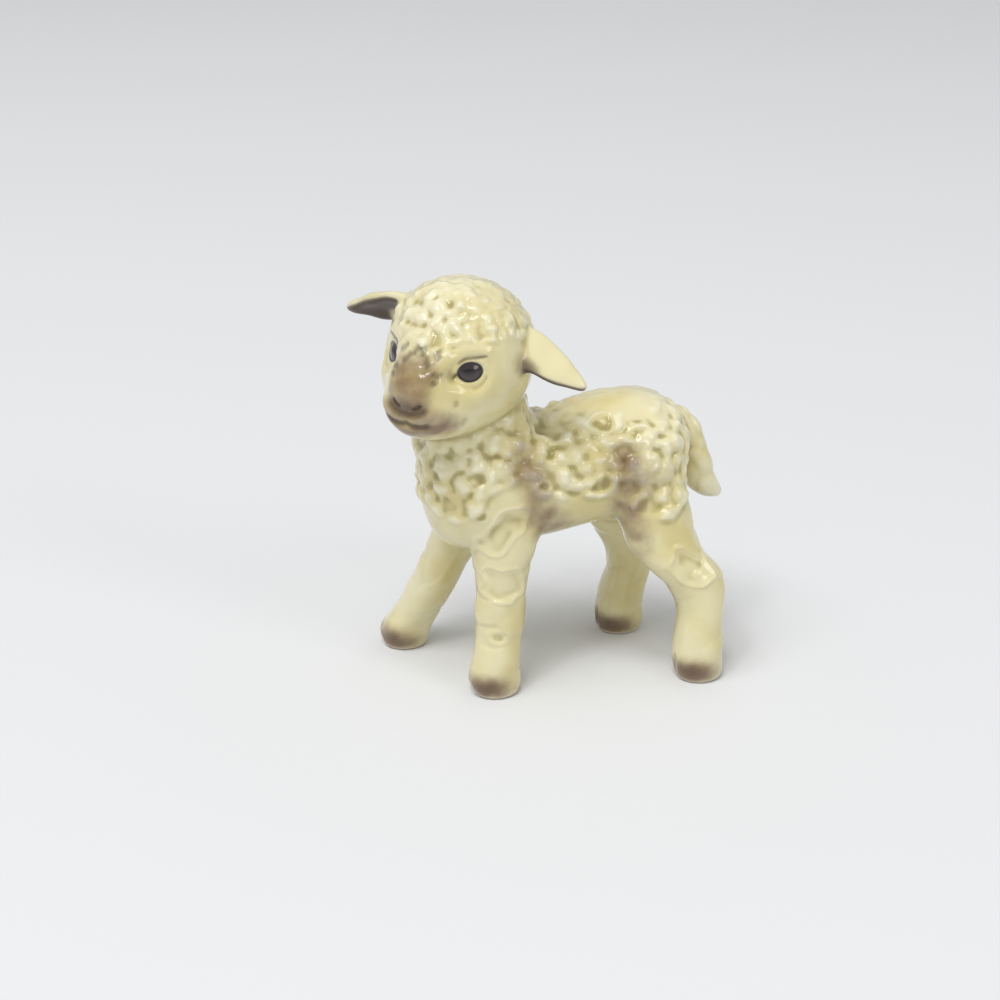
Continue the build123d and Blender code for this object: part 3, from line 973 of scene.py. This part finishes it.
def glaze(name, eyes=True):
    """Cream glaze that pools olive in the hollows and is paler on ridges from thin glaze and a painted
    highlight, over sprayed brown and brushed dark.
    """
    board = Board(name)
    place = board.node("ShaderNodeTexCoord", out="Object")
    pool = board.value_of("pool")
    brown = board.value_of("brown")
    dark = board.value_of("dark")
    cloud = board.noise(place, scale=90.0, detail=3.0)
    grain = board.noise(place, scale=900.0, detail=3.0, roughness=0.6)
    patches = board.noise(place, scale=34.0)

    tint = board.mix(board.ramp(cloud, 0.36, 0.66), CREAM, WARM_CREAM)
    tint = board.mix(board.ramp(patches, 0.48, 0.70) * 0.45, tint, PALE_CREAM)
    tint = board.mix(board.ramp(pool, 0.02, 0.65) * 0.88, tint, OLIVE)
    tint = board.mix(board.ramp(pool, 0.55, 1.00) * 0.38, tint, DEEP_OLIVE)
    # Ridges are paler: partly thin glaze, partly a painted highlight.
    tint = board.mix(board.ramp(pool, -0.10, -0.95) * 0.52, tint, RIDGE_GLAZE_AND_HIGHLIGHT)
    spray = board.ramp(brown + (grain - 0.5) * 0.24, 0.04, 1.00)
    tint = board.mix(spray * 0.88, tint, SPRAYED_BROWN)
    # Brown ridges are paler: partly thin glaze, partly a painted highlight.
    tint = board.mix(board.ramp(pool, -0.1, -0.6) * spray * 0.55, tint, THIN_BROWN_AND_HIGHLIGHT)
    tint = board.mix(board.ramp(dark, 0.05, 0.85) * 0.92, tint, DARK_BROWN)
    if eyes:
        for side in SIDES:
            tint = paint_eye(board, place, side, tint)

    # The soles are bare clay, with an uneven edge of glaze about half a millimetre up.
    height = board.node("ShaderNodeSeparateXYZ", None, {0: place}, out=2)
    bare = board.ramp(height + (cloud - 0.5) * 0.0006, 0.00075, 0.00045)
    tint = board.mix(bare, tint, BARE_CLAY)

    darkest = board.ramp(dark, 0.3, 0.8)
    ripple = board.noise(place, scale=420.0)
    bump = board.node("ShaderNodeBump", None, {"Strength": 0.12, "Distance": 0.0004, "Height": ripple})
    return board.finish(board.node("ShaderNodeBsdfPrincipled", None, {
        "Base Color": tint,
        "Roughness": 0.24 + bare * 0.5 + darkest * 0.25,
        "Normal": bump,
        "Coat Weight": 0.75 - bare * 0.75 - darkest * 0.62,
        "Coat Roughness": 0.045,
        "Coat IOR": 1.5,
        "Specular IOR Level": 0.4,
    }))


def paper(name):
    """The plain pale floor."""
    board = Board(name)
    return board.finish(board.node("ShaderNodeBsdfPrincipled", None, {"Base Color": PAPER, "Roughness": 0.9}))


# The camera, the floor and the light, in metres.

CAMERA_PLACE = (0.115112, 0.342250, 0.187016)
CAMERA_TILT = math.radians(67.1)
CAMERA_TURN = math.radians(163.0)
CAMERA_LENS = 72.1
SENSOR_WIDTH = 36.0
LAMP_AIM = (0, 0, 0.04)
FLOOR_SIZE = 6.0
SKY = (0.85, 0.86, 0.87, 1)
SKY_STRENGTH = 0.55


def add_camera():
    data = bpy.data.cameras.new("camera")
    data.lens = CAMERA_LENS
    data.sensor_width = SENSOR_WIDTH
    data.clip_start = 0.01
    camera = bpy.data.objects.new("camera", data)
    camera.location = CAMERA_PLACE
    camera.rotation_euler = Euler((CAMERA_TILT, 0.0, CAMERA_TURN))
    bpy.context.collection.objects.link(camera)
    bpy.context.scene.camera = camera


def add_lamp(name, place, size, power, in_gloss=True):
    """A rectangular lamp aimed at the lamb; one that isn't in the gloss has no reflection."""
    data = bpy.data.lights.new(name, "AREA")
    data.shape = "RECTANGLE"
    data.size, data.size_y = size
    data.energy = power
    lamp = bpy.data.objects.new(name, data)
    lamp.visible_glossy = in_gloss
    lamp.location = place
    lamp.rotation_euler = (Vector(LAMP_AIM) - Vector(place)).to_track_quat("-Z", "Y").to_euler()
    bpy.context.collection.objects.link(lamp)


def add_sky():
    world = bpy.data.worlds.new("studio")
    world.use_nodes = True
    background = world.node_tree.nodes["Background"]
    background.inputs["Color"].default_value = SKY
    background.inputs["Strength"].default_value = SKY_STRENGTH
    bpy.context.scene.world = world


add_camera()
add_lamp("window", place=(0.7, 0.5, 1.9), size=(1.5, 1.1), power=23.0, in_gloss=False)
add_lamp("left_pane", place=(0.95, 0.75, 1.75), size=(0.30, 0.46), power=5.0)
add_lamp("right_pane", place=(0.35, 0.55, 1.95), size=(0.30, 0.46), power=5.0)
add_lamp("side_window", place=(-1.1, 1.6, 1.0), size=(0.6, 0.8), power=5.0)
add_sky()
bpy.context.scene.view_settings.view_transform = "Standard"
bpy.ops.mesh.primitive_plane_add(size=FLOOR_SIZE)
floor = bpy.context.active_object
floor.name = "floor"
floor.data.materials.append(paper("pale_floor"))

cream_glaze = glaze("cream_glaze", eyes=False)
face_glaze = glaze("face_glaze")
for node, made in pieces.items():
    made.data.materials.append(face_glaze if node == "head" else cream_glaze)
    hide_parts(node)
    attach(made, "root")
